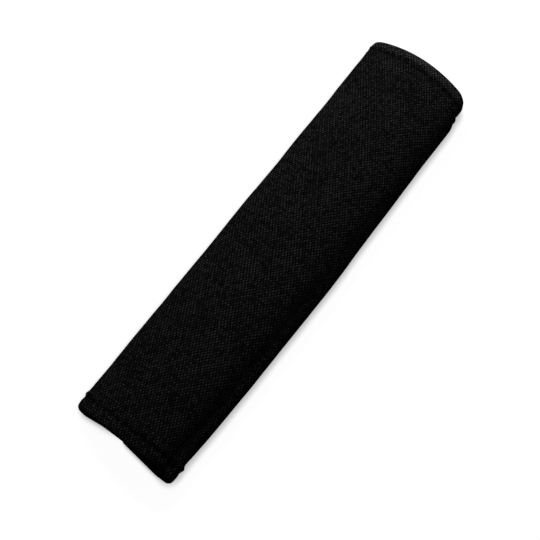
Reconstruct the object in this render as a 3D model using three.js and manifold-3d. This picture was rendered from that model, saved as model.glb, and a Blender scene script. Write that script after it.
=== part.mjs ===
// A padded sleeve for a car seat belt: one laminated sheet of cloth, foam and lining, hemmed all round,
// wrapped round the belt and closed on its underside with a hook-and-loop strip.
// X runs along the belt, Z is up, and the sleeve lies on its closed underside. Units are millimetres.
import * as THREE from "three";
import Module from "manifold-3d";

const wasm = await Module();
wasm.setup();

// Driving dimensions of the closed sleeve
const padLength = 278;
const closedWidth = 66;
const beltSlotHeight = 6.2;
const sideBow = 2.2;
const bowLean = 0.9;
const farEndBow = 3.4;
const flapTaper = 4.2;
const nearEndSkew = 0.027;
const farEndSkew = 0.047;

// Layers of the laminated sheet
const coverCloth = 0.6;
const foamSheet = 2.2;
const flapFoam = 0.8;
const foamTaper = 10;
const liningCloth = 0.5;
const layerGap = 0.3;

// Folds and the step where the inner flap climbs over the outer one
const tightFoldBore = 1.2;
const looseFoldDrop = 1.7;
const stepRun = 12;
const stepRadius = 4;
const flapClearance = 1;

// Hook-and-loop strips
const tapeThickness = 0.9;
const tapeWidth = 20;
const tapeEdgeInset = 2.5;
const tapeEndInset = 14;

// Hems: the cloth that is turned in, the stitched groove and its puckers
const endTurn = 12;
const longEdgeTurn = 12;
const hemWall = 2.4;
const rimRadius = 2;
const stitchInset = 7.2;
const stitchPitch = 4.7;
const grooveHalfWidth = 1.2;
const grooveShare = 0.34;
const puckerShare = 0.15;
const rimPuff = 0.25;
const innerPuff = 0.15;
const foldBulk = 0.7;
const hemStep = 1;

// Facets
const arcStep = THREE.MathUtils.degToRad(15);
const coarseArcStep = THREE.MathUtils.degToRad(24);
const crownSteps = 8;
const coarseCrownSteps = 5;
const pointsPerStitch = 4;
const bodyRows = 6;

// Sizes that follow from the layers
const hemLayers = 2 * coverCloth + liningCloth + 3 * layerGap;
const fullWall = hemLayers + foamSheet;
const flapWall = hemLayers + flapFoam;
const tapeStack = 2 * tapeThickness + 3 * layerGap;
const innerFlapRise = flapWall + tapeStack;
const fullHeight = innerFlapRise + flapWall + beltSlotHeight + fullWall;
const closureOverlap = tapeWidth + 2 * tapeEdgeInset;

// The crown is one large arc that meets a tight fold on the +Y side and a loose fold on the -Y side
const tightFold = fullWall + tightFoldBore;
const looseFold = (fullHeight - looseFoldDrop) / 2;
const tightFoldY = closedWidth / 2 - tightFold;
const looseFoldY = -closedWidth / 2 + looseFold;
const tightRise = Math.sqrt(fullHeight - 2 * tightFold);
const looseRise = Math.sqrt(looseFoldDrop);
const crownSpread = (tightFoldY - looseFoldY) / (tightRise + looseRise);
const crownRadius = (crownSpread ** 2 + fullHeight) / 2;
const crownY = looseFoldY + crownSpread * looseRise;
const crownZ = fullHeight - crownRadius;
const tightShoulder = Math.atan2(tightFold - crownZ, tightFoldY - crownY);
const looseShoulder = Math.atan2(looseFold - crownZ, looseFoldY - crownY);

// Free edges of the two flaps, and the step between their levels
const innerFlapEdgeY = looseFoldY + flapClearance;
const outerFlapEdgeY = innerFlapEdgeY + closureOverlap;
const stepStartY = outerFlapEdgeY + flapClearance;
const stepLandingRadius = (stepRun ** 2 + innerFlapRise ** 2) / (2 * innerFlapRise) - stepRadius;
const stepAngle = Math.acos(1 - innerFlapRise / (stepRadius + stepLandingRadius));

// The outer face of the section, walked from the inner flap's free edge to the outer flap's free edge
const section = [];
let pen = { y: innerFlapEdgeY, z: innerFlapRise, heading: 0, s: 0 };

function addStraight(length) {
  section.push({ ...pen, length, turn: 0 });
  pen = {
    y: pen.y + length * Math.cos(pen.heading),
    z: pen.z + length * Math.sin(pen.heading),
    heading: pen.heading,
    s: pen.s + length,
  };
}

function addArc(radius, turn, crown = false) {
  const side = Math.sign(turn);
  const centreY = pen.y - side * radius * Math.sin(pen.heading);
  const centreZ = pen.z + side * radius * Math.cos(pen.heading);
  const heading = pen.heading + turn;
  const length = radius * Math.abs(turn);
  section.push({ ...pen, length, turn, radius, centreY, centreZ, crown });
  pen = {
    y: centreY + side * radius * Math.sin(heading),
    z: centreZ - side * radius * Math.cos(heading),
    heading,
    s: pen.s + length,
  };
}

addStraight(stepStartY - innerFlapEdgeY);
addArc(stepRadius, -stepAngle);
addArc(stepLandingRadius, stepAngle);
addStraight(tightFoldY - stepStartY - stepRun);
const foldsStart = pen.s;
addArc(tightFold, Math.PI / 2 + tightShoulder);
addArc(crownRadius, looseShoulder - tightShoulder, true);
addArc(looseFold, (3 * Math.PI) / 2 - looseShoulder);
const foldsEnd = pen.s;
addStraight(outerFlapEdgeY - looseFoldY);
const sheetWidth = pen.s;
const topMiddle = (foldsStart + foldsEnd) / 2;

// The point of the outer face at a distance s along the section, with the direction the sheet runs in
function sectionAt(s) {
  const part = section.findLast((each) => each.s <= s) ?? section[0];
  const along = s - part.s;
  if (!part.turn) {
    return {
      y: part.y + along * Math.cos(part.heading),
      z: part.z + along * Math.sin(part.heading),
      heading: part.heading,
    };
  }
  const side = Math.sign(part.turn);
  const heading = part.heading + (side * along) / part.radius;
  return {
    y: part.centreY + side * part.radius * Math.sin(heading),
    z: part.centreZ - side * part.radius * Math.cos(heading),
    heading,
  };
}

// How far the sheet's ends stand back: the far end is bowed, and both flaps taper towards their free edges
function standBack(x, s, y) {
  const bow = x > 0 ? farEndBow * ((2 * y) / closedWidth) ** 2 : 0;
  const alongFlap = s < foldsStart ? 1 - s / foldsStart : (s - foldsEnd) / (sheetWidth - foldsEnd);
  return bow + flapTaper * Math.max(0, alongFlap);
}

// A point of the sheet: x along the sleeve, s round it, depth in from the outer face.
// The wrap is a little askew, more so at the far end, and the loose side bows out towards the near end.
function placeOnSheet(x, s, depth) {
  const { y, z, heading } = sectionAt(s);
  const pointY = y - depth * Math.sin(heading);
  const pointZ = z + depth * Math.cos(heading);
  const skew = THREE.MathUtils.lerp(nearEndSkew, farEndSkew, 0.5 + x / padLength);
  const pointX = x * (1 - (2 * standBack(x, s, y)) / padLength) - skew * (s - topMiddle);
  const along = THREE.MathUtils.clamp((2 * pointX) / padLength, -1, 1);
  const bow = sideBow * (1 - along ** 2) * (1 - bowLean * along);
  const share = THREE.MathUtils.clamp(0.5 - pointY / closedWidth, 0, 1);
  return [pointX, pointY - bow * share, pointZ];
}

// Foam is thin under the strips at both flaps and full elsewhere
function foamAt(s) {
  const fromEdge = Math.min(s, sheetWidth - s) - closureOverlap;
  return flapFoam + (foamSheet - flapFoam) * THREE.MathUtils.smoothstep(fromEdge, 0, foamTaper);
}

function wallAt(s) {
  return hemLayers + foamAt(s);
}

// How far a rounded edge draws the face in, at a distance from that edge
function rimInset(distance) {
  const toCentre = Math.max(0, rimRadius - distance);
  return rimRadius - Math.sqrt(rimRadius ** 2 - toCentre ** 2);
}

function edgeInset(x, s) {
  const fromEdge = Math.min(padLength / 2 - Math.abs(x), s, sheetWidth - s);
  return Math.min(rimInset(fromEdge), 0.4 * wallAt(s));
}

// Share of an outward bulge that shows: none underneath, all of it on top
function bulgeShare(s) {
  const onFolds = s > foldsStart && s < foldsEnd;
  return onFolds ? (1 - Math.cos(sectionAt(s).heading)) / 2 : 0;
}

function foldShare(s) {
  const onFolds = s > foldsStart && s < foldsEnd;
  return onFolds ? Math.sin(sectionAt(s).heading) ** 2 : 0;
}

// Rows across one end hem, from the rim inwards
const rimAngles = [0, 30, 60, 90].map(THREE.MathUtils.degToRad);
const grooveStart = stitchInset - grooveHalfWidth;
const grooveEnd = stitchInset + grooveHalfWidth;
const hemRows = [
  ...rimAngles.map((angle) => ({ inset: rimRadius * (1 - Math.cos(angle)), bulk: 1 })),
  { inset: (rimRadius + grooveStart) / 2, puff: rimPuff, bulk: 1 },
  { inset: grooveStart, puff: rimPuff / 2, pull: 0.4, bulk: 1 },
  { inset: stitchInset, groove: 1, pull: 1, bulk: 1 },
  { inset: grooveEnd, puff: innerPuff / 2, pull: 0.4, bulk: 1 },
  { inset: (grooveEnd + endTurn) / 2, puff: innerPuff, bulk: 1 },
  { inset: endTurn, puff: innerPuff, bulk: 1 },
  { inset: endTurn + hemStep },
];
const coreHemRows = hemRows.filter((row) => row.groove || row.pull || !row.bulk);
coreHemRows.unshift({ inset: hemWall });

// Both hems and evenly spaced rows between them, as x positions that rise along the sleeve
function rowsAlong(endRows) {
  const innermost = padLength / 2 - endRows.at(-1).inset;
  const near = endRows.map((row) => ({ ...row, x: row.inset - padLength / 2 }));
  const middle = [];
  for (let i = 1; i < bodyRows; i += 1) {
    middle.push({ x: innermost * ((2 * i) / bodyRows - 1) });
  }
  const far = endRows.map((row) => ({ ...row, x: padLength / 2 - row.inset })).reverse();
  return [...near, ...middle, ...far];
}

// Points round the section: the ends of each stretch and even steps on its arcs
function stationsAround(from, to, angleStep, acrossCrown) {
  const stations = [from, to];
  for (const part of section) {
    const onArc = Math.ceil(Math.abs(part.turn) / angleStep);
    const steps = part.crown ? acrossCrown : Math.max(1, onArc);
    for (let i = 0; i <= steps; i += 1) {
      stations.push(part.s + (part.length * i) / steps);
    }
  }
  return keepWithin(stations, from, to);
}

function keepWithin(stations, from, to) {
  const closest = 0.05;
  const kept = stations.filter((s) => s >= from && s <= to).sort((a, b) => a - b);
  const spaced = kept.filter((s, i) => i === 0 || s - kept[i - 1] > closest);
  spaced[0] = from;
  spaced[spaced.length - 1] = to;
  return spaced;
}

// Triangles between two neighbouring lines of points, which may hold different numbers of them
function fillBetween(first, second, addFace) {
  let i = 0;
  let j = 0;
  while (i < first.length - 1 || j < second.length - 1) {
    const secondDone = j === second.length - 1;
    const firstIsNext = i < first.length - 1 && (secondDone || first[i + 1].s <= second[j + 1].s);
    if (firstIsNext) {
      addFace(first[i], first[i + 1], second[j]);
      i += 1;
    } else {
      addFace(first[i], second[j + 1], second[j]);
      j += 1;
    }
  }
}

// A closed solid between an outer and an inner face of the sheet
function sheetSolid({ rows, outerStations, innerStations, outerDepth, innerDepth }) {
  const positions = [];
  const triangles = [];
  const addPoint = (row, s, depth) => {
    positions.push(...placeOnSheet(row.x, s, depth));
    return { s, index: positions.length / 3 - 1 };
  };
  const addFace = (a, b, c) => triangles.push(a.index, b.index, c.index);
  const addFlipped = (a, b, c) => triangles.push(a.index, c.index, b.index);
  const lines = rows.map((row) => ({
    outer: outerStations(row).map((s) => addPoint(row, s, outerDepth(row, s))),
    inner: innerStations(row).map((s) => addPoint(row, s, innerDepth(row, s))),
  }));
  for (let i = 0; i + 1 < lines.length; i += 1) {
    const here = lines[i];
    const next = lines[i + 1];
    fillBetween(here.outer, next.outer, addFace);
    fillBetween(here.inner, next.inner, addFlipped);
    addFace(here.outer[0], next.outer[0], next.inner[0]);
    addFace(here.outer[0], next.inner[0], here.inner[0]);
    addFlipped(here.outer.at(-1), next.outer.at(-1), next.inner.at(-1));
    addFlipped(here.outer.at(-1), next.inner.at(-1), here.inner.at(-1));
  }
  fillBetween(lines[0].outer, lines[0].inner, addFlipped);
  fillBetween(lines.at(-1).outer, lines.at(-1).inner, addFace);
  return new wasm.Manifold(
    new wasm.Mesh({
      numProp: 3,
      vertProperties: new Float32Array(positions),
      triVerts: new Uint32Array(triangles),
    }),
  );
}

// The outer face with the groove that the end seam pulls, without its puckers
function grooveDepth(row, s) {
  return (row.groove ?? 0) * grooveShare * foamAt(s);
}

// The outer face in full: rounded edges, puffed rims, fold bulk, groove and a pucker at each stitch
function coverFace(row, s) {
  const puff = (row.puff ?? 0) * bulgeShare(s);
  const bulk = (row.bulk ?? 0) * foldBulk * foldShare(s);
  const hole = (1 + Math.cos((2 * Math.PI * s) / stitchPitch)) / 2;
  const pucker = (row.pull ?? 0) * puckerShare * foamAt(s) * hole;
  return edgeInset(row.x, s) + grooveDepth(row, s) + pucker - puff - bulk;
}

// A plain layer of the sheet between two depths, with a margin to the sheet's edges
function layer(rows, margin, outerDepth, innerDepth, from = margin, to = sheetWidth - margin) {
  const stations = stationsAround(from, to, coarseArcStep, coarseCrownSteps);
  return sheetSolid({
    rows,
    outerStations: () => stations,
    innerStations: () => stations,
    outerDepth,
    innerDepth,
  });
}

// The cover: the whole sheet less the room for foam and lining, and less the window on the belt side
function makeCover() {
  const edgeStations = rimAngles.map((angle) => rimRadius * (1 - Math.cos(angle)));
  const bothEdges = [...edgeStations, ...edgeStations.map((s) => sheetWidth - s)];
  const plain = keepWithin(
    [...bothEdges, ...stationsAround(0, sheetWidth, arcStep, crownSteps)],
    0,
    sheetWidth,
  );
  const inside = keepWithin(
    [...bothEdges, ...stationsAround(0, sheetWidth, coarseArcStep, coarseCrownSteps)],
    0,
    sheetWidth,
  );
  const stitched = [...bothEdges];
  const stitchedPoints = Math.floor((sheetWidth / stitchPitch) * pointsPerStitch);
  for (let i = 0; i <= stitchedPoints; i += 1) {
    stitched.push((i * stitchPitch) / pointsPerStitch);
  }
  const stitchedLine = keepWithin(stitched, 0, sheetWidth);
  const whole = sheetSolid({
    rows: rowsAlong(hemRows),
    outerStations: (row) => (row.pull ? stitchedLine : plain),
    innerStations: () => inside,
    outerDepth: coverFace,
    innerDepth: (row, s) => wallAt(s) - edgeInset(row.x, s),
  });
  const room = layer(
    rowsAlong(coreHemRows),
    hemWall,
    (row, s) => grooveDepth(row, s) + coverCloth,
    (row, s) => wallAt(s) - coverCloth,
  );
  const window = layer(
    rowsAlong([{ inset: endTurn }]),
    0,
    (row, s) => wallAt(s) - coverCloth - layerGap / 2,
    (row, s) => wallAt(s) + tightFoldBore / 2,
    longEdgeTurn,
    sheetWidth - closureOverlap,
  );
  return whole.subtract(room.add(window));
}

function makeFoam() {
  const coverAndGap = coverCloth + layerGap;
  return layer(
    rowsAlong(coreHemRows.map((row) => ({ ...row, inset: Math.max(row.inset, hemWall + layerGap) }))),
    hemWall + layerGap,
    (row, s) => grooveDepth(row, s) + coverAndGap,
    (row, s) => coverAndGap + foamAt(s),
  );
}

function makeLining() {
  const margin = hemWall + layerGap;
  const outerFaceAt = (s) => coverCloth + 2 * layerGap + foamAt(s);
  return layer(
    rowsAlong([{ inset: margin }]),
    margin,
    (row, s) => outerFaceAt(s),
    (row, s) => outerFaceAt(s) + liningCloth,
  );
}

// The hook strip lies on the belt side of the outer flap, the loop strip on the outer side of the inner flap
function makeHookTape() {
  const to = sheetWidth - tapeEdgeInset;
  return layer(
    rowsAlong([{ inset: tapeEndInset }]),
    0,
    (row, s) => wallAt(s) + layerGap,
    (row, s) => wallAt(s) + layerGap + tapeThickness,
    to - tapeWidth,
    to,
  );
}

function makeLoopTape() {
  return layer(
    rowsAlong([{ inset: tapeEndInset }]),
    0,
    () => -layerGap - tapeThickness,
    () => -layerGap,
    tapeEdgeInset,
    tapeEdgeInset + tapeWidth,
  );
}

function namedMesh(name, solid, color, roughness) {
  const made = solid.getMesh();
  const geometry = new THREE.BufferGeometry();
  geometry.setAttribute("position", new THREE.BufferAttribute(made.vertProperties, 3));
  geometry.setIndex(new THREE.BufferAttribute(made.triVerts, 1));
  geometry.computeVertexNormals();
  const material = new THREE.MeshStandardMaterial({ color, roughness, metalness: 0 });
  const mesh = new THREE.Mesh(geometry, material);
  mesh.name = name;
  return mesh;
}

const shoulderPad = new THREE.Group();
shoulderPad.add(
  namedMesh("outer_cover", makeCover(), 0x111113, 0.82),
  namedMesh("foam_padding", makeFoam(), 0x2a2a2c, 0.95),
  namedMesh("inner_lining", makeLining(), 0x18181a, 0.9),
  namedMesh("hook_tape", makeHookTape(), 0x1c1c1e, 0.7),
  namedMesh("loop_tape", makeLoopTape(), 0x141416, 0.95),
);

// The origin is the middle of the footprint
const bounds = new THREE.Box3().setFromObject(shoulderPad);
const centre = bounds.getCenter(new THREE.Vector3());
for (const mesh of shoulderPad.children) {
  mesh.position.set(-centre.x, -centre.y, -bounds.min.z);
}

export default shoulderPad;
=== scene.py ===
import math

import bpy
import numpy as np
from mathutils import Matrix, Vector


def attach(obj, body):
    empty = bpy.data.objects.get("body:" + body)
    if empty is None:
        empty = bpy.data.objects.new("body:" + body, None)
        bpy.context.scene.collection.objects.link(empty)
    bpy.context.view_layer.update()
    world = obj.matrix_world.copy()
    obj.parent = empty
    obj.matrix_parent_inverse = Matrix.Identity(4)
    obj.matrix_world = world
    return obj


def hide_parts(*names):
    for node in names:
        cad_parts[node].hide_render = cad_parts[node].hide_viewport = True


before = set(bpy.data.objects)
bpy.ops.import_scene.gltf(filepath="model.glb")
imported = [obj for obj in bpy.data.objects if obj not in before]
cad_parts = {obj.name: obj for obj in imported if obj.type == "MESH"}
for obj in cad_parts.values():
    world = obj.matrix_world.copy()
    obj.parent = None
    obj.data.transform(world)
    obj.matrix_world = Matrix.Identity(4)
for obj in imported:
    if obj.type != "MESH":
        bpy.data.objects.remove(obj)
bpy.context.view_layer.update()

scene = bpy.context.scene
scene.view_settings.view_transform = "Standard"


# Camera. It looks down at the sleeve from its near end's side, with a long lens, and the sleeve runs from
# the lower left to the upper right of a square picture.
PICTURE_PIXELS = 540
SENSOR_WIDTH = 36
turn, drop = math.radians(52.84), math.radians(70)
distance, pixels_per_metre = 1.0785, 1797.2
looking = Vector((math.cos(drop) * math.sin(turn), math.cos(drop) * math.cos(turn), -math.sin(drop)))
to_the_right = Vector((math.cos(turn), -math.sin(turn), 0))
upwards = to_the_right.cross(looking)
mid_height = Vector((0, 0, 0.008))
right_of_centre, above_centre = 10.41 / pixels_per_metre, 18.15 / pixels_per_metre
bpy.ops.object.camera_add()
camera = bpy.context.object
camera.data.sensor_width = SENSOR_WIDTH
camera.data.lens = SENSOR_WIDTH * pixels_per_metre * distance / PICTURE_PIXELS
camera.data.clip_start, camera.data.clip_end = 0.05, 20
camera.location = mid_height - distance * looking
aim = mid_height - right_of_centre * to_the_right - above_centre * upwards
ahead = (aim - camera.location).normalized()
level = (to_the_right - to_the_right.dot(ahead) * ahead).normalized()
camera.rotation_euler = Matrix((level, level.cross(ahead), -ahead)).transposed().to_euler()
scene.camera = camera


# Padded cover: coarse plain-weave black cloth laminated to a thin foam sheet. The cloth is turned in at both
# ends and along both long edges, and the sheet is wrapped into a flat sleeve whose flaps overlap underneath.
PAD_LENGTH = 0.278
CLOSED_WIDTH = 0.066
BELT_SLOT = 0.0062
SIDE_BOW, BOW_LEAN = 0.0022, 0.9
FAR_END_BOW, FLAP_TAPER = 0.0034, 0.0042
NEAR_END_SKEW, FAR_END_SKEW = 0.027, 0.047
CLOTH, LINING, GAP = 0.0006, 0.0005, 0.0003
FOAM, FLAP_FOAM, FOAM_TAPER = 0.0022, 0.0008, 0.010
TAPE, TAPE_WIDTH, TAPE_EDGE, TAPE_END = 0.0009, 0.020, 0.0025, 0.014
STEP_RUN, STEP_RADIUS, FLAP_CLEARANCE = 0.012, 0.004, 0.001
TIGHT_BORE, LOOSE_DROP = 0.0012, 0.0017
END_TURN, LONG_TURN = 0.012, 0.012
RIM_RADIUS = 0.002
STITCH_INSET, STITCH_PITCH = 0.0072, 0.0047
ORIGIN_SHIFT = (-0.00006, 0.00085, 0.0)

hem_layers = 2 * CLOTH + LINING + 3 * GAP
full_wall, flap_wall = hem_layers + FOAM, hem_layers + FLAP_FOAM
inner_rise = flap_wall + 2 * TAPE + 3 * GAP
full_height = inner_rise + flap_wall + BELT_SLOT + full_wall
overlap = TAPE_WIDTH + 2 * TAPE_EDGE
tight_fold, loose_fold = full_wall + TIGHT_BORE, (full_height - LOOSE_DROP) / 2
tight_y, loose_y = CLOSED_WIDTH / 2 - tight_fold, loose_fold - CLOSED_WIDTH / 2
tight_rise, loose_rise = math.sqrt(full_height - 2 * tight_fold), math.sqrt(LOOSE_DROP)
spread = (tight_y - loose_y) / (tight_rise + loose_rise)
crown_radius = (spread ** 2 + full_height) / 2
crown_y, crown_z = loose_y + spread * loose_rise, full_height - crown_radius
tight_shoulder = math.atan2(tight_fold - crown_z, tight_y - crown_y)
loose_shoulder = math.atan2(loose_fold - crown_z, loose_y - crown_y)
inner_edge_y = loose_y + FLAP_CLEARANCE
outer_edge_y = inner_edge_y + overlap
step_y = outer_edge_y + FLAP_CLEARANCE
landing_radius = (STEP_RUN ** 2 + inner_rise ** 2) / (2 * inner_rise) - STEP_RADIUS
step_angle = math.acos(1 - inner_rise / (STEP_RADIUS + landing_radius))


# The sleeve's cross-section is walked as straights and arcs, from the inner flap's edge to the outer flap's
def walk_section():
    stretches = []
    y, z, heading, s = inner_edge_y, inner_rise, 0.0, 0.0
    for radius, amount in (
        (0, step_y - inner_edge_y),
        (STEP_RADIUS, -step_angle),
        (landing_radius, step_angle),
        (0, tight_y - step_y - STEP_RUN),
        (tight_fold, math.pi / 2 + tight_shoulder),
        (crown_radius, loose_shoulder - tight_shoulder),
        (loose_fold, 1.5 * math.pi - loose_shoulder),
        (0, outer_edge_y - loose_y),
    ):
        length = radius * abs(amount) if radius else amount
        bend = math.copysign(1 / radius, amount) if radius else 0.0
        stretches.append((s, y, z, heading, bend))
        if radius:
            turned = heading + amount
            y += (math.sin(turned) - math.sin(heading)) / bend
            z -= (math.cos(turned) - math.cos(heading)) / bend
            heading = turned
        else:
            y += length * math.cos(heading)
            z += length * math.sin(heading)
        s += length
    return stretches, s


# The fifth to seventh stretches are the tight fold, the crowned face and the loose fold
section, sheet_width = walk_section()
folds_start, loose_fold_start, folds_end = section[4][0], section[6][0], section[7][0]
top_middle = (folds_start + folds_end) / 2


def section_at(s):
    s = np.asarray(s, float)
    row = np.clip(np.searchsorted([part[0] for part in section], s, side="right") - 1, 0, len(section) - 1)
    start, y0, z0, heading0, bend = np.moveaxis(np.array(section)[row], -1, 0)
    along = s - start
    heading = heading0 + bend * along
    safe = np.where(bend == 0, 1, bend)
    y = y0 + np.where(bend == 0, along * np.cos(heading0), (np.sin(heading) - np.sin(heading0)) / safe)
    z = z0 + np.where(bend == 0, along * np.sin(heading0), (np.cos(heading0) - np.cos(heading)) / safe)
    return y, z, heading


def place_on_sheet(x, s, depth):
    y, z, heading = section_at(s)
    on_flap = np.where(s < folds_start, 1 - s / folds_start, (s - folds_end) / (sheet_width - folds_end))
    stand_back = np.where(x > 0, FAR_END_BOW * (2 * y / CLOSED_WIDTH) ** 2, 0)
    stand_back = stand_back + FLAP_TAPER * np.maximum(on_flap, 0)
    skew = NEAR_END_SKEW + (FAR_END_SKEW - NEAR_END_SKEW) * (0.5 + x / PAD_LENGTH)
    px = x * (1 - 2 * stand_back / PAD_LENGTH) - skew * (s - top_middle)
    py, pz = y - depth * np.sin(heading), z + depth * np.cos(heading)
    along = np.clip(2 * px / PAD_LENGTH, -1, 1)
    bow = SIDE_BOW * (1 - along ** 2) * (1 - BOW_LEAN * along)
    share = np.clip(0.5 - py / CLOSED_WIDTH, 0, 1)
    return np.stack([px, py - bow * share, pz], axis=-1) + ORIGIN_SHIFT


def foam_at(s):
    t = np.clip((np.minimum(s, sheet_width - s) - overlap) / FOAM_TAPER, 0, 1)
    return FLAP_FOAM + (FOAM - FLAP_FOAM) * t * t * (3 - 2 * t)


def wall_at(s):
    return hem_layers + foam_at(s)


MOST_RIM_SHARE = 0.4


# How far the wall's two faces draw together towards its rims, which are rounded
def edge_inset(x, s):
    to_edge = np.minimum(PAD_LENGTH / 2 - np.abs(x), np.minimum(s, sheet_width - s))
    to_centre = np.clip(RIM_RADIUS - to_edge, 0, RIM_RADIUS)
    inset = RIM_RADIUS - np.sqrt(RIM_RADIUS ** 2 - to_centre ** 2)
    return np.minimum(inset, MOST_RIM_SHARE * wall_at(s))


def new_mesh(name, points, faces):
    mesh = bpy.data.meshes.new(name)
    mesh.from_pydata([tuple(p) for p in points], [], faces)
    mesh.update()
    piece = bpy.data.objects.new(name, mesh)
    scene.collection.objects.link(piece)
    return piece


def keep_values(piece, label, values):
    attribute = piece.data.attributes.new(label, "FLOAT", "POINT")
    attribute.data.foreach_set("value", values.ravel().astype(np.float32))


# A closed wall of the sheet between an outer and an inner depth, on a grid of rows along x and stations round
# it. Each point keeps where it lies along and round the sheet, and whether it is on the inner face.
def sheet_wall(name, rows, stations, outer_depth, inner_depth):
    x, s = np.meshgrid(rows, stations, indexing="ij")
    outer = place_on_sheet(x, s, outer_depth(x, s))
    inner = place_on_sheet(x, s, inner_depth(x, s))
    n_rows, n_stations = x.shape
    ring = 2 * n_stations
    points = np.concatenate([outer, inner[:, ::-1]], axis=1).reshape(-1, 3)
    faces = []
    for i in range(n_rows - 1):
        for j in range(ring):
            k = (j + 1) % ring
            faces.append((i * ring + j, i * ring + k, (i + 1) * ring + k, (i + 1) * ring + j))
    for j in range(n_stations - 1):
        cap = (j, ring - 1 - j, ring - 2 - j, j + 1)
        faces.append(cap)
        faces.append(tuple((n_rows - 1) * ring + q for q in reversed(cap)))
    piece = new_mesh(name, points, faces)
    keep_values(piece, "along", np.concatenate([x, x[:, ::-1]], axis=1))
    keep_values(piece, "round", np.concatenate([s, s[:, ::-1]], axis=1))
    keep_values(piece, "inside", np.concatenate([np.zeros_like(x), np.ones_like(x)], axis=1))
    return piece


def values_of(piece, label):
    values = np.zeros(len(piece.data.vertices), np.float32)
    piece.data.attributes[label].data.foreach_get("value", values)
    return values.astype(float)


def coordinates_of(piece):
    co = np.zeros(len(piece.data.vertices) * 3, np.float32)
    piece.data.vertices.foreach_get("co", co)
    return co.reshape(-1, 3).astype(float)


def set_coordinates(piece, co):
    piece.data.vertices.foreach_set("co", co.astype(np.float32).ravel())
    piece.data.update()


def only_select(piece):
    bpy.ops.object.select_all(action="DESELECT")
    piece.select_set(True)
    bpy.context.view_layer.objects.active = piece


# Rows of points along the sleeve, closest together across the hems, and stations round it, three to a stitch
HEM_ROWS_MM = (-0.4, 0.1, 0.8, 1.9, 3.1, 4.2, 5.3, 6.1, 6.6, 7.2, 7.8, 8.3, 9.1, 10.2, 11.2, 12.2, 13.6)
hem_insets = np.array(HEM_ROWS_MM) / 1000
body_rows = 62
body_half = PAD_LENGTH / 2 - hem_insets[-1]
rows = np.concatenate([
    hem_insets - PAD_LENGTH / 2,
    np.linspace(-body_half, body_half, body_rows + 2)[1:-1],
    PAD_LENGTH / 2 - hem_insets[::-1],
])
edge_stations = RIM_RADIUS * (1 - np.cos(np.radians([0, 30, 60, 90])))
stitch_third = STITCH_PITCH / 3
inner_stations = np.arange(2, math.floor(sheet_width / stitch_third) - 1) * stitch_third
stations = np.concatenate([edge_stations, inner_stations, sheet_width - edge_stations[::-1]])


RECESS_RUN = 0.0012


# The cut edge of the turned-in cloth stands proud of the lining inside
def recess(x, s):
    past_end_turn = PAD_LENGTH / 2 - np.abs(x) - END_TURN
    past_long_turn = np.minimum(s - LONG_TURN, sheet_width - overlap - s)
    return (CLOTH + GAP) * np.clip(np.minimum(past_end_turn, past_long_turn) / RECESS_RUN, 0, 1)


cover = sheet_wall(
    "padded_cover", rows, stations,
    outer_depth=edge_inset,
    inner_depth=lambda x, s: wall_at(s) - edge_inset(x, s) - recess(x, s),
)


# The foam swells between the seams: air pressure pushes the cloth out where no stitch, tape or fold holds it
def swell(piece, held, pressure, cap, frames=20):
    group = piece.vertex_groups.new(name="held")
    for weight in np.unique(np.round(held, 2)):
        members = np.nonzero(np.round(held, 2) == weight)[0].tolist()
        group.add(members, float(weight), "REPLACE")
    rest = coordinates_of(piece)
    cloth = piece.modifiers.new("Cloth", "CLOTH")
    cloth.settings.use_pressure = True
    cloth.settings.uniform_pressure_force = pressure
    cloth.settings.effector_weights.gravity = 0
    cloth.settings.vertex_group_mass = group.name
    cloth.settings.quality = 5
    cloth.point_cache.frame_start, cloth.point_cache.frame_end = 1, frames
    for number in range(1, frames + 1):
        scene.frame_set(number)
    evaluated = piece.evaluated_get(bpy.context.evaluated_depsgraph_get())
    swollen = np.zeros(len(rest) * 3, np.float32)
    evaluated.data.vertices.foreach_get("co", swollen)
    moved = swollen.reshape(-1, 3) - rest
    length = np.linalg.norm(moved, axis=1)
    limit = cap * (1 - held)
    moved *= (limit * np.tanh(length / np.maximum(limit, 1e-9)) / np.maximum(length, 1e-9))[:, None]
    piece.modifiers.remove(cloth)
    set_coordinates(piece, rest + moved)
    piece.vertex_groups.remove(group)
    scene.frame_set(1)


def smooth_between(value, low, high):
    t = np.clip((value - low) / (high - low), 0, 1)
    return t * t * (3 - 2 * t)


def bump_at(value, centre, width):
    return np.exp(-((value - centre) / width) ** 2)


# How much of the face looks up, and how much looks to the sides
def facing(round_s):
    on_folds = (round_s > folds_start) & (round_s < folds_end)
    heading = section_at(round_s)[2]
    return np.where(on_folds, (1 - np.cos(heading)) / 2, 0), np.where(on_folds, np.sin(heading) ** 2, 0)


INSIDE_HELD, RIM_HELD, RIM_BAND = 0.7, 0.8, 0.0025
along, round_s, inside = (values_of(cover, label) for label in ("along", "round", "inside"))
from_end = PAD_LENGTH / 2 - np.abs(along)
near_floor = 1 - smooth_between(facing(round_s)[0], 0.02, 0.35)
at_seam = 1 - smooth_between(np.abs(from_end - STITCH_INSET), 0.0003, 0.0022)
at_rim = (from_end < RIM_BAND) * RIM_HELD
held = np.clip(np.maximum.reduce([near_floor, at_seam, inside * INSIDE_HELD, at_rim]), 0, 1)
swell(cover, held, pressure=4, cap=0.0008)

finer = cover.modifiers.new("Finer", "SUBSURF")
finer.levels = finer.render_levels = 1
only_select(cover)
bpy.ops.object.modifier_apply(modifier=finer.name)

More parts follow.
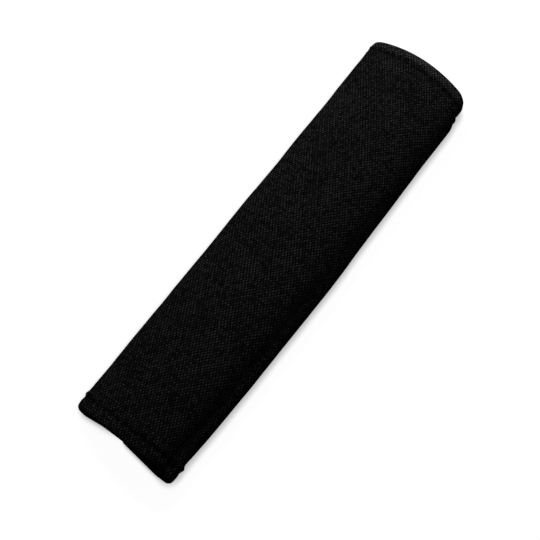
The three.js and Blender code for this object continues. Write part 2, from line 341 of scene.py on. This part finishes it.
# Smooth unevenness of hand-sewn cloth, from a few waves of each length and height, with fixed phases
WAVE_SIZES = ((0.055, 0.0002), (0.031, 0.00013), (0.017, 0.00008), (0.010, 0.00004))
WAVES_OF_EACH = 4
cloth_waves = []
draws = np.random.default_rng(7)
for wavelength, height in WAVE_SIZES:
    for _ in range(WAVES_OF_EACH):
        direction = draws.uniform(0, math.pi)
        phase = draws.uniform(0, 2 * math.pi)
        cloth_waves.append((2 * math.pi / wavelength, direction, phase, height / 2))

# The cloth bulks up where each hem goes round a fold: how far the hem stands out, then the ridge beside its
# seam as height, distance from the end and width, and how far the corner reaches along the sleeve
HEM_CORNERS = {
    "near loose": (0.0008, 0.0007, 0.0100, 0.0016, 0.0011),
    "near tight": (-0.0001, 0.0008, 0.0095, 0.0014, -0.0003),
    "far loose": (-0.0021, -0.0011, 0.0128, 0.0030, -0.0005),
    "far tight": (0.0, 0.0005, 0.0062, 0.0014, -0.0004),
}
HEM_EDGE = (0.0092, 0.0118)
STITCH_SHARE = 0.54


# Between 0.8 and 1.2, and different from stitch to stitch
def stitch_variation(stitch, end):
    return 0.8 + 0.4 * (np.abs(np.sin(stitch * 12.9898 + end * 4.1)) * 43.7 % 1)


def at_corner(corner, x, s):
    return ((x < 0) == corner.startswith("near")) & ((s < top_middle) == corner.endswith("tight"))


def under_stitch(s):
    phase = s / STITCH_PITCH - np.round(s / STITCH_PITCH)
    return 1 - smooth_between(np.abs(phase), STITCH_SHARE / 2 - 0.06, STITCH_SHARE / 2 + 0.1)


SLUMP_DEPTH, NEAR_DEEPER, FAR_SHALLOWER = 0.0017, 0.0018, 0.0015
SLUMP_PAST_FOLD, SLUMP_WIDTH, NEAR_WIDER = 0.0052, 0.0052, 0.0022
SLUMP_CHANGES_OVER = 0.1
FAR_HEM_HOLDS, FAR_HEM = 0.6, (0.008, 0.020)


# The foam is pressed flat along the shoulder of the loose fold, most towards the near end
def shoulder_slump(x, s):
    near, far = np.clip(-x / SLUMP_CHANGES_OVER, 0, 1), np.clip(x / SLUMP_CHANGES_OVER, 0, 1)
    past = s - loose_fold_start - SLUMP_PAST_FOLD
    width = np.where(past < 0, SLUMP_WIDTH + NEAR_WIDER * near, SLUMP_WIDTH)
    depth = SLUMP_DEPTH + NEAR_DEEPER * near - FAR_SHALLOWER * far
    hem = 1 - FAR_HEM_HOLDS * (1 - smooth_between(PAD_LENGTH / 2 - x, *FAR_HEM))
    return depth * hem * np.exp(-(past / width) ** 2)


# Ridges that run beside a hem, each as height, distance from the end and width
HEM_RUCKS = ((0.00018, STITCH_INSET + 0.0024, 0.0018), (0.00030, STITCH_INSET - 0.0020, 0.0015))
HEM_PUFFS = ((0.00022, 0.0042, 0.0018), (0.0002, 0.0105, 0.0022))
GROOVE_WIDTH, GROOVE_DEPTH, STITCH_PULLS = 0.0010, 0.00032, 0.00045
TIGHT_BULK, LOOSE_BULK, MIDDLE_BULK, MIDDLE_REACH = 0.0008, 0.0005, 0.0005, 0.035
TAPE_SEAM_INSET, TAPE_SEAM_DEPTH, TAPE_SEAM_WIDTH = 0.002, 0.00035, 0.0009


def ridges(to_end, sizes):
    return sum(height * bump_at(to_end, inset, width) for height, inset, width in sizes)


# How far the outer face stands out: hem seams pull it in, and it puffs and puckers beside them
def seam_relief(x, s):
    to_end = PAD_LENGTH / 2 - np.abs(x)
    up, sideways = facing(s)
    under_thread = under_stitch(s)
    pull = stitch_variation(np.round(s / STITCH_PITCH), np.sign(x))
    depth = GROOVE_DEPTH + STITCH_PULLS * under_thread * pull
    groove = bump_at(to_end, STITCH_INSET, GROOVE_WIDTH) * depth
    rucks, puff = ridges(to_end, HEM_RUCKS), ridges(to_end, HEM_PUFFS)
    loose_bulk = LOOSE_BULK + MIDDLE_BULK * bump_at(x, 0.0, MIDDLE_REACH)
    bulk = np.where(s < top_middle, TIGHT_BULK, loose_bulk)
    for corner, (stands_out, ridge, ridge_inset, ridge_width, _) in HEM_CORNERS.items():
        here = at_corner(corner, x, s)
        hem = stands_out * (1 - smooth_between(to_end, *HEM_EDGE))
        hem = hem + ridge * bump_at(to_end, ridge_inset, ridge_width)
        bulk = bulk + here * hem * sideways
    wavy = sum(h * np.cos(k * (x * math.cos(a) + s * math.sin(a)) + p) for k, a, p, h in cloth_waves)
    tape_start, tape_end = sheet_width - TAPE_EDGE, sheet_width - TAPE_EDGE - TAPE_WIDTH
    tape_rows = (tape_start - TAPE_SEAM_INSET, tape_end + TAPE_SEAM_INSET)
    dips = sum(bump_at(s, row, TAPE_SEAM_WIDTH) for row in tape_rows)
    tape_seam = TAPE_SEAM_DEPTH * (to_end > TAPE_END) * dips
    return (
        (puff + rucks * (1 - under_thread) + wavy * smooth_between(to_end, 0.001, 0.006)) * up
        + bulk * sideways - groove * (0.55 + 0.45 * up) * (1 - 0.35 * sideways)
        - tape_seam - shoulder_slump(x, s)
    )


# The relief is laid on along the sheet's own outward direction, after the subdivision, and the hem's corners
# reach a little way along the sleeve
INNER_SEAM_DEPTH, INNER_SEAM_WIDTH = 0.00025, 0.0012
CORNER_REACH_FADES = (0.002, 0.010)
along, round_s, inside = (values_of(cover, label) for label in ("along", "round", "inside"))
from_end = PAD_LENGTH / 2 - np.abs(along)
outer_share = np.clip(1 - inside, 0, 1)
lift = outer_share * seam_relief(along, round_s)
lift += (1 - outer_share) * INNER_SEAM_DEPTH * bump_at(from_end, STITCH_INSET, INNER_SEAM_WIDTH)
heading = section_at(round_s)[2]
outwards = np.stack([0 * heading, np.sin(heading), -np.cos(heading)], axis=-1)
reach = sum(at_corner(corner, along, round_s) * values[-1] for corner, values in HEM_CORNERS.items())
reach_fades = 1 - smooth_between(from_end, *CORNER_REACH_FADES)
reach = reach * facing(round_s)[1] * reach_fades * np.sign(along)
lifted = coordinates_of(cover) + lift[:, None] * outwards
lifted[:, 0] += reach
set_coordinates(cover, lifted)

# Painted shade darkens the groove, most under each stitch, and a painted highlight lightens the rims: where,
# how widely and how much
FAR_RIM_HIGHLIGHT, NEAR_RIM_HIGHLIGHT = (0.0022, 0.0030, 1.0), (0.0002, 0.0024, 0.5)
seam_shade = bump_at(from_end, STITCH_INSET, GROOVE_WIDTH) * (0.25 + 0.75 * under_stitch(round_s))
rim_place, rim_width, rim_amount = (
    np.where(along > 0, at_far, at_near) for at_far, at_near in zip(FAR_RIM_HIGHLIGHT, NEAR_RIM_HIGHLIGHT)
)
keep_values(cover, "seam_shade", seam_shade)
keep_values(cover, "rim_highlight", bump_at(from_end, rim_place, rim_width) * rim_amount)


def lay_map(piece, name, u, v):
    corners = np.zeros(len(piece.data.loops), np.int32)
    piece.data.loops.foreach_get("vertex_index", corners)
    uv = piece.data.uv_layers.new(name=name)
    uv.data.foreach_set("uv", np.stack([u[corners], v[corners]], axis=1).astype(np.float32).ravel())


# The cloth's own UV map is measured in metres along and round the sheet, and runs on over the turned edges.
# The cloth was cut a few degrees askew, and it is drawn closer towards the far end: each as its value in the
# middle and its change per metre.
CLOTH_DRAW, CLOTH_SLANT = (1.065, 0.49), (0.12, -0.17)


def lay_cloth_map(piece):
    x, s, inner = (values_of(piece, label) for label in ("along", "round", "inside"))
    wall = wall_at(s)
    to_end = PAD_LENGTH / 2 - np.abs(x)
    u = np.where(inner > 0.5, np.sign(x) * (PAD_LENGTH / 2 + wall + to_end), x)
    in_long_turn = (inner > 0.5) & (to_end > END_TURN)
    v = np.where(in_long_turn & (s < LONG_TURN), -wall - s, s)
    v = np.where(in_long_turn & (s > sheet_width - overlap), 2 * sheet_width + wall - s, v)
    drawn, slant = CLOTH_DRAW[0] + CLOTH_DRAW[1] * u, CLOTH_SLANT[0] + CLOTH_SLANT[1] * u
    lay_map(piece, "cloth", u * drawn, v - u * slant)


lay_cloth_map(cover)


def add(nodes, kind, **settings):
    node = nodes.new(kind)
    for key, value in settings.items():
        setattr(node, key, value)
    return node


def math_node(tree, operation, *inputs):
    node = add(tree.nodes, "ShaderNodeMath", operation=operation)
    for socket, value in zip(node.inputs, inputs):
        if isinstance(value, (int, float)):
            socket.default_value = value
        else:
            tree.links.new(value, socket)
    return node.outputs[0]


def make_group(name, inputs, outputs):
    tree = bpy.data.node_groups.new(name, "ShaderNodeTree")
    for label, kind, value in inputs:
        socket = tree.interface.new_socket(label, in_out="INPUT", socket_type=kind)
        if value is not None:
            socket.default_value = value
    for label, kind in outputs:
        tree.interface.new_socket(label, in_out="OUTPUT", socket_type=kind)
    return tree, tree.nodes.new("NodeGroupInput"), tree.nodes.new("NodeGroupOutput")


# Plain weave as a shared group: a checkerboard of long floats, each rounded like a yarn, with fine fibres;
# its Yarn mask sets where a painted sheen lies on the floats
weave, weave_in, weave_out = make_group(
    "plain_weave",
    [("Vector", "NodeSocketVector", None), ("Pitch Along", "NodeSocketFloat", 0.001),
     ("Pitch Round", "NodeSocketFloat", 0.001), ("Wander", "NodeSocketFloat", 0.1),
     ("Warp Sheen Share", "NodeSocketFloat", 0.5)],
    [("Height", "NodeSocketFloat"), ("Yarn", "NodeSocketFloat"), ("Tone", "NodeSocketFloat")],
)


WANDER_SCALE, FIBRE_SCALE, FIBRE_AMOUNT = 260, 5200, 0.35
FLOAT_ARCH, YARN_ROUNDNESS, YARN_CONTRAST = 2.3, 2.08, 1.25
YARN_TONE_SHARE = 0.15


def build_weave(tree, group_in, group_out):
    def m(*args):
        return math_node(tree, *args)

    link = tree.links.new
    wander = add(tree.nodes, "ShaderNodeTexNoise", noise_dimensions="2D")
    wander.inputs["Scale"].default_value = WANDER_SCALE
    wander.inputs["Detail"].default_value = 2
    link(group_in.outputs["Vector"], wander.inputs["Vector"])
    shifts = tree.nodes.new("ShaderNodeSeparateColor")
    link(wander.outputs["Color"], shifts.inputs[0])
    place = tree.nodes.new("ShaderNodeSeparateXYZ")
    link(group_in.outputs["Vector"], place.inputs[0])
    amount = group_in.outputs["Wander"]
    across = m("ADD", m("DIVIDE", place.outputs[0], group_in.outputs["Pitch Along"]),
               m("MULTIPLY", m("SUBTRACT", shifts.outputs[0], 0.5), amount))
    around = m("ADD", m("DIVIDE", place.outputs[1], group_in.outputs["Pitch Round"]),
               m("MULTIPLY", m("SUBTRACT", shifts.outputs[1], 0.5), amount))
    cell_a, cell_b = m("FLOOR", across), m("FLOOR", around)
    off_a = m("SUBTRACT", m("SUBTRACT", across, cell_a), 0.5)
    off_b = m("SUBTRACT", m("SUBTRACT", around, cell_b), 0.5)
    parity = m("FLOORED_MODULO", m("ADD", cell_a, cell_b), 2.0)

    def float_height(lengthwise, crosswise):
        rise = m("COSINE", m("MULTIPLY", lengthwise, FLOAT_ARCH))
        side = m("MULTIPLY", crosswise, YARN_ROUNDNESS)
        rounded = m("SQRT", m("MAXIMUM", m("SUBTRACT", 1.0, m("MULTIPLY", side, side)), 0.0))
        return m("MULTIPLY", rise, rounded)

    warp = m("MULTIPLY", float_height(off_a, off_b), m("SUBTRACT", 1.0, parity))
    weft = m("MULTIPLY", float_height(off_b, off_a), parity)
    fibre = add(tree.nodes, "ShaderNodeTexNoise", noise_dimensions="2D")
    fibre.inputs["Scale"].default_value = FIBRE_SCALE
    fibre.inputs["Detail"].default_value = 1
    link(group_in.outputs["Vector"], fibre.inputs["Vector"])
    fuzz = m("MULTIPLY", m("SUBTRACT", fibre.outputs[0], 0.5), FIBRE_AMOUNT)
    link(m("ADD", m("ADD", warp, weft), fuzz), group_out.inputs["Height"])
    # Painted sheen: the Yarn mask takes the weft floats whole and the warp floats only in part
    lit_yarn = m("ADD", weft, m("MULTIPLY", warp, group_in.outputs["Warp Sheen Share"]))
    fuzzy_yarn = m("MAXIMUM", m("MULTIPLY", lit_yarn, m("ADD", 1.0, fuzz)), 0.0)
    # Raised to a power, the painted sheen peaks on the float crests
    link(m("POWER", fuzzy_yarn, YARN_CONTRAST), group_out.inputs["Yarn"])
    own_row = m("ADD", m("MULTIPLY", cell_a, parity), m("MULTIPLY", cell_b, m("SUBTRACT", 1.0, parity)))
    number = m("ADD", m("MULTIPLY", own_row, 2.0), parity)
    yarn_tone = add(tree.nodes, "ShaderNodeTexWhiteNoise", noise_dimensions="1D")
    link(number, yarn_tone.inputs["W"])
    cell = tree.nodes.new("ShaderNodeCombineXYZ")
    link(cell_a, cell.inputs[0])
    link(cell_b, cell.inputs[1])
    float_tone = add(tree.nodes, "ShaderNodeTexWhiteNoise", noise_dimensions="2D")
    link(cell.outputs[0], float_tone.inputs["Vector"])
    of_yarn = m("MULTIPLY", yarn_tone.outputs["Value"], YARN_TONE_SHARE)
    of_float = m("MULTIPLY", float_tone.outputs["Value"], 1 - YARN_TONE_SHARE)
    link(m("ADD", of_yarn, of_float), group_out.inputs["Tone"])


build_weave(weave, weave_in, weave_out)


def mix_colour(tree, factor, dark, light):
    node = add(tree.nodes, "ShaderNodeMix", data_type="RGBA")
    for socket, value in ((node.inputs[0], factor), (node.inputs[6], dark), (node.inputs[7], light)):
        if isinstance(value, (int, float)):
            socket.default_value = value
        elif isinstance(value, tuple):
            socket.default_value = (*value, 1)
        else:
            tree.links.new(value, socket)
    return node.outputs[2]


def map_range(tree, value, from_low, from_high, to_low, to_high):
    node = tree.nodes.new("ShaderNodeMapRange")
    tree.links.new(value, node.inputs["Value"])
    node.inputs["From Min"].default_value = from_low
    node.inputs["From Max"].default_value = from_high
    node.inputs["To Min"].default_value = to_low
    node.inputs["To Max"].default_value = to_high
    return node.outputs[0]


# How much lighter the painted highlight at the rims makes the yarn colour, and the roughness in the gaps
RIM_HIGHLIGHT_LIGHTER, GAP_ROUGHNESS = 2.2, 0.95
PATCH_SCALE, PATCH_AMOUNT = 55, 0.2
# How far the painted shade in the seams darkens the colour
SEAM_DARKENS = 0.8


# A cloth's material: painted shade in the gaps between yarns of uneven tone and painted sheen on their
# crests, faintly patchy, with a painted highlight at the rims and painted shade in seams
def woven_material(
    name, pitch, depth, gap_shade_colour, yarn_colour, roughness, wander=0.4, specular=0.1, warp_sheen_share=0.8,
):
    material = bpy.data.materials.new(name)
    material.use_nodes = True
    tree = material.node_tree
    shader = tree.nodes["Principled BSDF"]
    cloth_map = add(tree.nodes, "ShaderNodeUVMap", uv_map="cloth")
    cloth = add(tree.nodes, "ShaderNodeGroup", node_tree=weave)
    tree.links.new(cloth_map.outputs[0], cloth.inputs["Vector"])
    cloth.inputs["Pitch Along"].default_value, cloth.inputs["Pitch Round"].default_value = pitch
    cloth.inputs["Wander"].default_value = wander
    cloth.inputs["Warp Sheen Share"].default_value = warp_sheen_share
    patch = add(tree.nodes, "ShaderNodeTexNoise")
    patch.inputs["Scale"].default_value = PATCH_SCALE
    patch.inputs["Detail"].default_value = 4
    object_place = tree.nodes.new("ShaderNodeTexCoord")
    tree.links.new(object_place.outputs["Object"], patch.inputs["Vector"])
    # Painted highlight: the yarn colour is lightened towards the rims
    rim = add(tree.nodes, "ShaderNodeAttribute", attribute_name="rim_highlight")
    rim_highlight_colour = tuple(RIM_HIGHLIGHT_LIGHTER * part for part in yarn_colour)
    yarn = mix_colour(tree, rim.outputs["Fac"], yarn_colour, rim_highlight_colour)
    tone = map_range(tree, cloth.outputs["Tone"], 0.1, 0.9, 0.25, 1.0)
    toned = mix_colour(tree, tone, gap_shade_colour, yarn)
    patches = map_range(tree, patch.outputs[0], 0.3, 0.7, 0.0, PATCH_AMOUNT)
    patchy = mix_colour(tree, patches, toned, gap_shade_colour)
    # The cloth's own dark colour, with painted sheen on the yarn crests and painted shade in the gaps between
    # yarns
    woven = mix_colour(tree, cloth.outputs["Yarn"], gap_shade_colour, patchy)
    # Painted shade in the seams' grooves, deepest under each stitch
    seam = add(tree.nodes, "ShaderNodeAttribute", attribute_name="seam_shade")
    in_seam = math_node(tree, "MULTIPLY", seam.outputs["Fac"], SEAM_DARKENS)
    tree.links.new(mix_colour(tree, in_seam, woven, gap_shade_colour), shader.inputs["Base Color"])
    rough = map_range(tree, cloth.outputs["Yarn"], 0, 1, GAP_ROUGHNESS, roughness)
    tree.links.new(rough, shader.inputs["Roughness"])
    bump = tree.nodes.new("ShaderNodeBump")
    bump.inputs["Distance"].default_value = depth
    tree.links.new(cloth.outputs["Height"], bump.inputs["Height"])
    tree.links.new(bump.outputs[0], shader.inputs["Normal"])
    shader.inputs["Specular IOR Level"].default_value = specular
    return material


cover_cloth = woven_material(
    "black_oxford_cloth", pitch=(0.00137, 0.00095), depth=0.00022,
    gap_shade_colour=(0.0002, 0.0002, 0.0002), yarn_colour=(0.0265, 0.0265, 0.0268),
    roughness=0.6, wander=0.35, specular=0.0, warp_sheen_share=0.3,
)
cover.data.materials.append(cover_cloth)
only_select(cover)
bpy.ops.object.shade_smooth()
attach(cover, "root")
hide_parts("outer_cover", "foam_padding")


# Sewing thread: twisted black polyester. One stitch is a short bowed length that dips into the cloth at both
# ends. It is modelled once and copied along the end seams, outside and inside, and along the closure's seams.
THREAD_RADIUS = 0.00022
STITCH_DIPS = 0.0005
stitch_length = STITCH_SHARE * STITCH_PITCH + STITCH_DIPS
stitch_path = [(-0.5, -0.0007), (-0.46, -0.0003), (-0.36, -0.00002), (-0.15, 0.00006),
               (0.15, 0.00006), (0.36, -0.00002), (0.46, -0.0003), (0.5, -0.0007)]
bpy.ops.object.select_all(action="DESELECT")
bpy.ops.mesh.primitive_circle_add(
    vertices=8, radius=THREAD_RADIUS, fill_type="NGON",
    location=(stitch_path[0][0] * stitch_length, 0, stitch_path[0][1]), rotation=(0, math.pi / 2, 0),
)
stitch = bpy.context.object
stitch.name = "stitch"
bpy.ops.object.transform_apply(location=True, rotation=True, scale=True)
bpy.ops.object.mode_set(mode="EDIT")
for (t0, h0), (t1, h1) in zip(stitch_path, stitch_path[1:]):
    step = ((t1 - t0) * stitch_length, 0, h1 - h0)
    bpy.ops.mesh.extrude_region_move(TRANSFORM_OT_translate={"value": step})
bpy.ops.mesh.select_all(action="SELECT")
bpy.ops.mesh.normals_make_consistent(inside=False)
bpy.ops.object.mode_set(mode="OBJECT")
stitch_points = coordinates_of(stitch)

# The extrusions leave the side faces in an order that changes from run to run, so they are put in order
stitch_faces = []
for polygon in stitch.data.polygons:
    corners = list(polygon.vertices)
    lowest = corners.index(min(corners))
    stitch_faces.append(tuple(corners[lowest:] + corners[:lowest]))
stitch_faces.sort()
bpy.data.objects.remove(stitch)
path_places, path_heights = np.array(stitch_path).T
mid_heights = np.interp(stitch_points[:, 0], path_places * stitch_length, path_heights)
stitch_turns = np.arctan2(stitch_points[:, 1], stitch_points[:, 2] - mid_heights)


# One copy of the stitch, bent to the sheet. It runs round the sleeve or along it, outside or inside.
def lay_stitch(x0, s0, depth, run_round, inwards, stretch=1.0):
    t, w, h = (stitch_points * (stretch, 1, 1)).T
    side = -1 if inwards else 1
    x, s = (x0 + side * w, s0 + t) if run_round else (x0 + t, s0 - side * w)
    return place_on_sheet(x, s, depth - side * h)


def sew(name, stitches):
    count = len(stitch_points)
    points = np.concatenate([lay_stitch(*stitch) for stitch in stitches])
    faces = [tuple(i * count + q for q in face) for i in range(len(stitches)) for face in stitch_faces]
    piece = new_mesh(name, points, faces)
    lengthwise = np.tile(stitch_points[:, 0], len(stitches))
    lay_map(piece, "thread", lengthwise, np.tile(stitch_turns, len(stitches)))
    piece.data.materials.append(thread_material)
    only_select(piece)
    bpy.ops.object.shade_smooth()
    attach(piece, "root")
    return piece


TWIST_PER_METRE, PLIES = 9000.0, 2.0
thread_material = bpy.data.materials.new("twisted_black_thread")
thread_material.use_nodes = True
tree = thread_material.node_tree
thread_shader = tree.nodes["Principled BSDF"]
thread_map = add(tree.nodes, "ShaderNodeUVMap", uv_map="thread")
thread_place = tree.nodes.new("ShaderNodeSeparateXYZ")
tree.links.new(thread_map.outputs[0], thread_place.inputs[0])
with_length = math_node(tree, "MULTIPLY", thread_place.outputs[0], TWIST_PER_METRE)
with_turn = math_node(tree, "MULTIPLY", thread_place.outputs[1], PLIES)
twist = math_node(tree, "SINE", math_node(tree, "ADD", with_length, with_turn))
plies = map_range(tree, twist, -1, 1, 0, 1)
thread_colour = mix_colour(tree, plies, (0.0006, 0.0006, 0.0006), (0.007, 0.007, 0.0072))
tree.links.new(thread_colour, thread_shader.inputs["Base Color"])
thread_bump = tree.nodes.new("ShaderNodeBump")
thread_bump.inputs["Distance"].default_value = 0.00012
tree.links.new(plies, thread_bump.inputs["Height"])
tree.links.new(thread_bump.outputs[0], thread_shader.inputs["Normal"])
thread_shader.inputs["Roughness"].default_value = 0.5
thread_shader.inputs["Specular IOR Level"].default_value = 0.03


# How deep the cover's outer face lies under the sheet's plain outside, once its seams are pulled in
def outer_face(x, s):
    return -float(seam_relief(np.array(x), np.array(s)))


THREAD_SINKS, BOBBIN_SINKS, CLOSURE_SINKS = 0.00012, 0.00013, 0.00008
MOST_SLIP = 0.00015
seam_x = PAD_LENGTH / 2 - STITCH_INSET
hem_stitches, bobbin_stitches = [], []
for end in (-1, 1):
    for number in range(1, math.floor(sheet_width / STITCH_PITCH)):
        s0 = number * STITCH_PITCH
        stretch = 0.94 + 0.1 * float(stitch_variation(number, end * 3.0) - 0.8)
        slip = MOST_SLIP * math.sin(number * 5.3 + end)
        outer = outer_face(end * seam_x, s0) - THREAD_SINKS
        hem_stitches.append((end * seam_x + slip, s0, outer, True, False, stretch))
        bobbin_stitches.append((end * seam_x, s0, float(wall_at(s0)) - BOBBIN_SINKS, True, True, stretch))
sew("end_seam_thread", hem_stitches)
sew("end_seam_bobbin_thread", bobbin_stitches)

# The closure's seams show outside the outer flap, and inside the inner flap, where one row crosses the lining
CLOSURE_PITCH, CLOSURE_STRETCH = 0.0034, 0.8
LINING_STANDS = 0.00035
closure_stitches = []
for row_in in (TAPE_SEAM_INSET, TAPE_WIDTH - TAPE_SEAM_INSET):
    for number in range(math.floor((PAD_LENGTH - 2 * TAPE_END) / CLOSURE_PITCH)):
        x0 = TAPE_END - PAD_LENGTH / 2 + (number + 0.5) * CLOSURE_PITCH
        s0 = sheet_width - TAPE_EDGE - row_in
        closure_stitches.append((x0, s0, outer_face(x0, s0) - CLOSURE_SINKS, False, False, CLOSURE_STRETCH))
        s0 = TAPE_EDGE + row_in
        floor_depth = float(wall_at(s0) - recess(np.array(x0), np.array(s0)))
        if s0 > LONG_TURN:
            floor_depth += LINING_STANDS
        closure_stitches.append((x0, s0, floor_depth, False, True, CLOSURE_STRETCH))
sew("closure_thread", closure_stitches)


# Inner lining: thin smooth knitted cloth that faces the belt. It is laid on the foam, and its margins are
# caught under the turned-in cover.
UNDER_HEM = 0.004
KNIT_THICKNESS, TUCKED_IN = 0.0002, 0.0002
lining_rows = np.linspace(-1, 1, 60) * (PAD_LENGTH / 2 - END_TURN + UNDER_HEM)
lining_stations = np.linspace(LONG_TURN - UNDER_HEM, sheet_width - overlap + UNDER_HEM, 80)


def lining_depth(x, s):
    tucked = 1 - np.clip(recess(x, s) / (CLOTH + GAP), 0, 1)
    return wall_at(s) - (CLOTH + GAP) + LINING_STANDS * (1 - tucked) - TUCKED_IN * tucked


lining = sheet_wall(
    "belt_lining", lining_rows, lining_stations,
    outer_depth=lambda x, s: lining_depth(x, s) - KNIT_THICKNESS,
    inner_depth=lining_depth,
)
lay_cloth_map(lining)
lining.data.materials.append(woven_material(
    "fine_knitted_lining", pitch=(0.0007, 0.0007), depth=0.00006,
    gap_shade_colour=(0.003, 0.003, 0.003), yarn_colour=(0.014, 0.014, 0.015), roughness=0.8, specular=0.1,
))
only_select(lining)
bpy.ops.object.shade_smooth()
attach(lining, "root")
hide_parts("inner_lining")


# Hook and loop strips: woven tape, the hook half sewn inside the outer flap and the loop half outside the
# inner flap, so that they press together when the sleeve is closed.
def strip(name, start, outer, inner, colour, gap_shade_colour, node):
    x_rows = np.linspace(-1, 1, 120) * (PAD_LENGTH / 2 - TAPE_END)
    s_stations = np.linspace(start, start + TAPE_WIDTH, 24)
    piece = sheet_wall(name, x_rows, s_stations, outer, inner)
    lay_cloth_map(piece)
    piece.data.materials.append(woven_material(
        name + "_nylon", pitch=(0.0012, 0.0016), depth=0.00035, gap_shade_colour=gap_shade_colour, yarn_colour=colour,
        roughness=0.55, wander=1.2, specular=0.2,
    ))
    only_select(piece)
    bpy.ops.object.shade_smooth_by_angle(angle=math.radians(50))
    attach(piece, "root")
    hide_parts(node)


strip(
    "hook_strip", sheet_width - TAPE_EDGE - TAPE_WIDTH,
    lambda x, s: wall_at(s) + GAP, lambda x, s: wall_at(s) + GAP + TAPE,
    (0.012, 0.012, 0.013), (0.002, 0.002, 0.002), "hook_tape",
)
strip(
    "loop_strip", TAPE_EDGE,
    lambda x, s: -GAP - TAPE + 0 * s, lambda x, s: -GAP + 0 * s,
    (0.010, 0.010, 0.010), (0.0015, 0.0015, 0.0015), "loop_tape",
)


# Floor: a plain white table. The camera sees it as white, and it keeps the sleeve's soft shadow, which is
# deepest where the sleeve meets the table.
bpy.ops.object.select_all(action="DESELECT")
bpy.ops.mesh.primitive_plane_add(size=12, location=(0, 0, -0.0002))
floor = bpy.context.object
floor.name = "floor"
white = bpy.data.materials.new("white_table")
white.use_nodes = True
tree = white.node_tree
tree.nodes.remove(tree.nodes["Principled BSDF"])
lit = tree.nodes.new("ShaderNodeBsdfDiffuse")
lit.inputs["Color"].default_value = (0.1, 0.1, 0.1, 1)
contact = add(tree.nodes, "ShaderNodeAmbientOcclusion", samples=16)
contact.inputs["Distance"].default_value = 0.007
path = tree.nodes.new("ShaderNodeLightPath")
mirrored = math_node(tree, "MAXIMUM", path.outputs["Is Glossy Ray"], path.outputs["Is Transmission Ray"])
seen = math_node(tree, "MAXIMUM", path.outputs["Is Camera Ray"], mirrored)
glow = tree.nodes.new("ShaderNodeEmission")
open_sky = map_range(tree, contact.outputs["AO"], 0.5, 0.85, 0.5, 0.97)
tree.links.new(math_node(tree, "MULTIPLY", seen, open_sky), glow.inputs["Strength"])
both = tree.nodes.new("ShaderNodeAddShader")
tree.links.new(lit.outputs[0], both.inputs[0])
tree.links.new(glow.outputs[0], both.inputs[1])
tree.links.new(both.outputs[0], tree.nodes["Material Output"].inputs["Surface"])
floor.data.materials.append(white)


# Studio: a white surround for the camera, a weak even fill, a soft lamp behind the sleeve to the left, and a
# weak one low beyond its far end, to the right
world = bpy.data.worlds.new("studio")
scene.world = world
world.use_nodes = True
sky = world.node_tree.nodes["Background"]
sky.inputs["Color"].default_value = (1, 1, 1, 1)
FILL = 0.1
world_path = world.node_tree.nodes.new("ShaderNodeLightPath")
seen_white = math_node(world.node_tree, "MULTIPLY", world_path.outputs["Is Camera Ray"], 1 - FILL)
brightness = math_node(world.node_tree, "ADD", FILL, seen_white)
world.node_tree.links.new(brightness, sky.inputs["Strength"])


def soft_lamp(name, place, size, watts):
    bpy.ops.object.light_add(type="AREA", location=place)
    lamp = bpy.context.object
    lamp.name = name
    lamp.data.shape = "DISK"
    lamp.data.size = size
    lamp.data.energy = watts
    lamp.visible_camera = False
    lamp.rotation_euler = (-Vector(place)).to_track_quat("-Z", "Y").to_euler()


soft_lamp("key_lamp", (0.33, 0.36, 0.41), 0.25, 5.3)
soft_lamp("edge_lamp", (0.40, -0.22, 0.13), 0.2, 0.5)
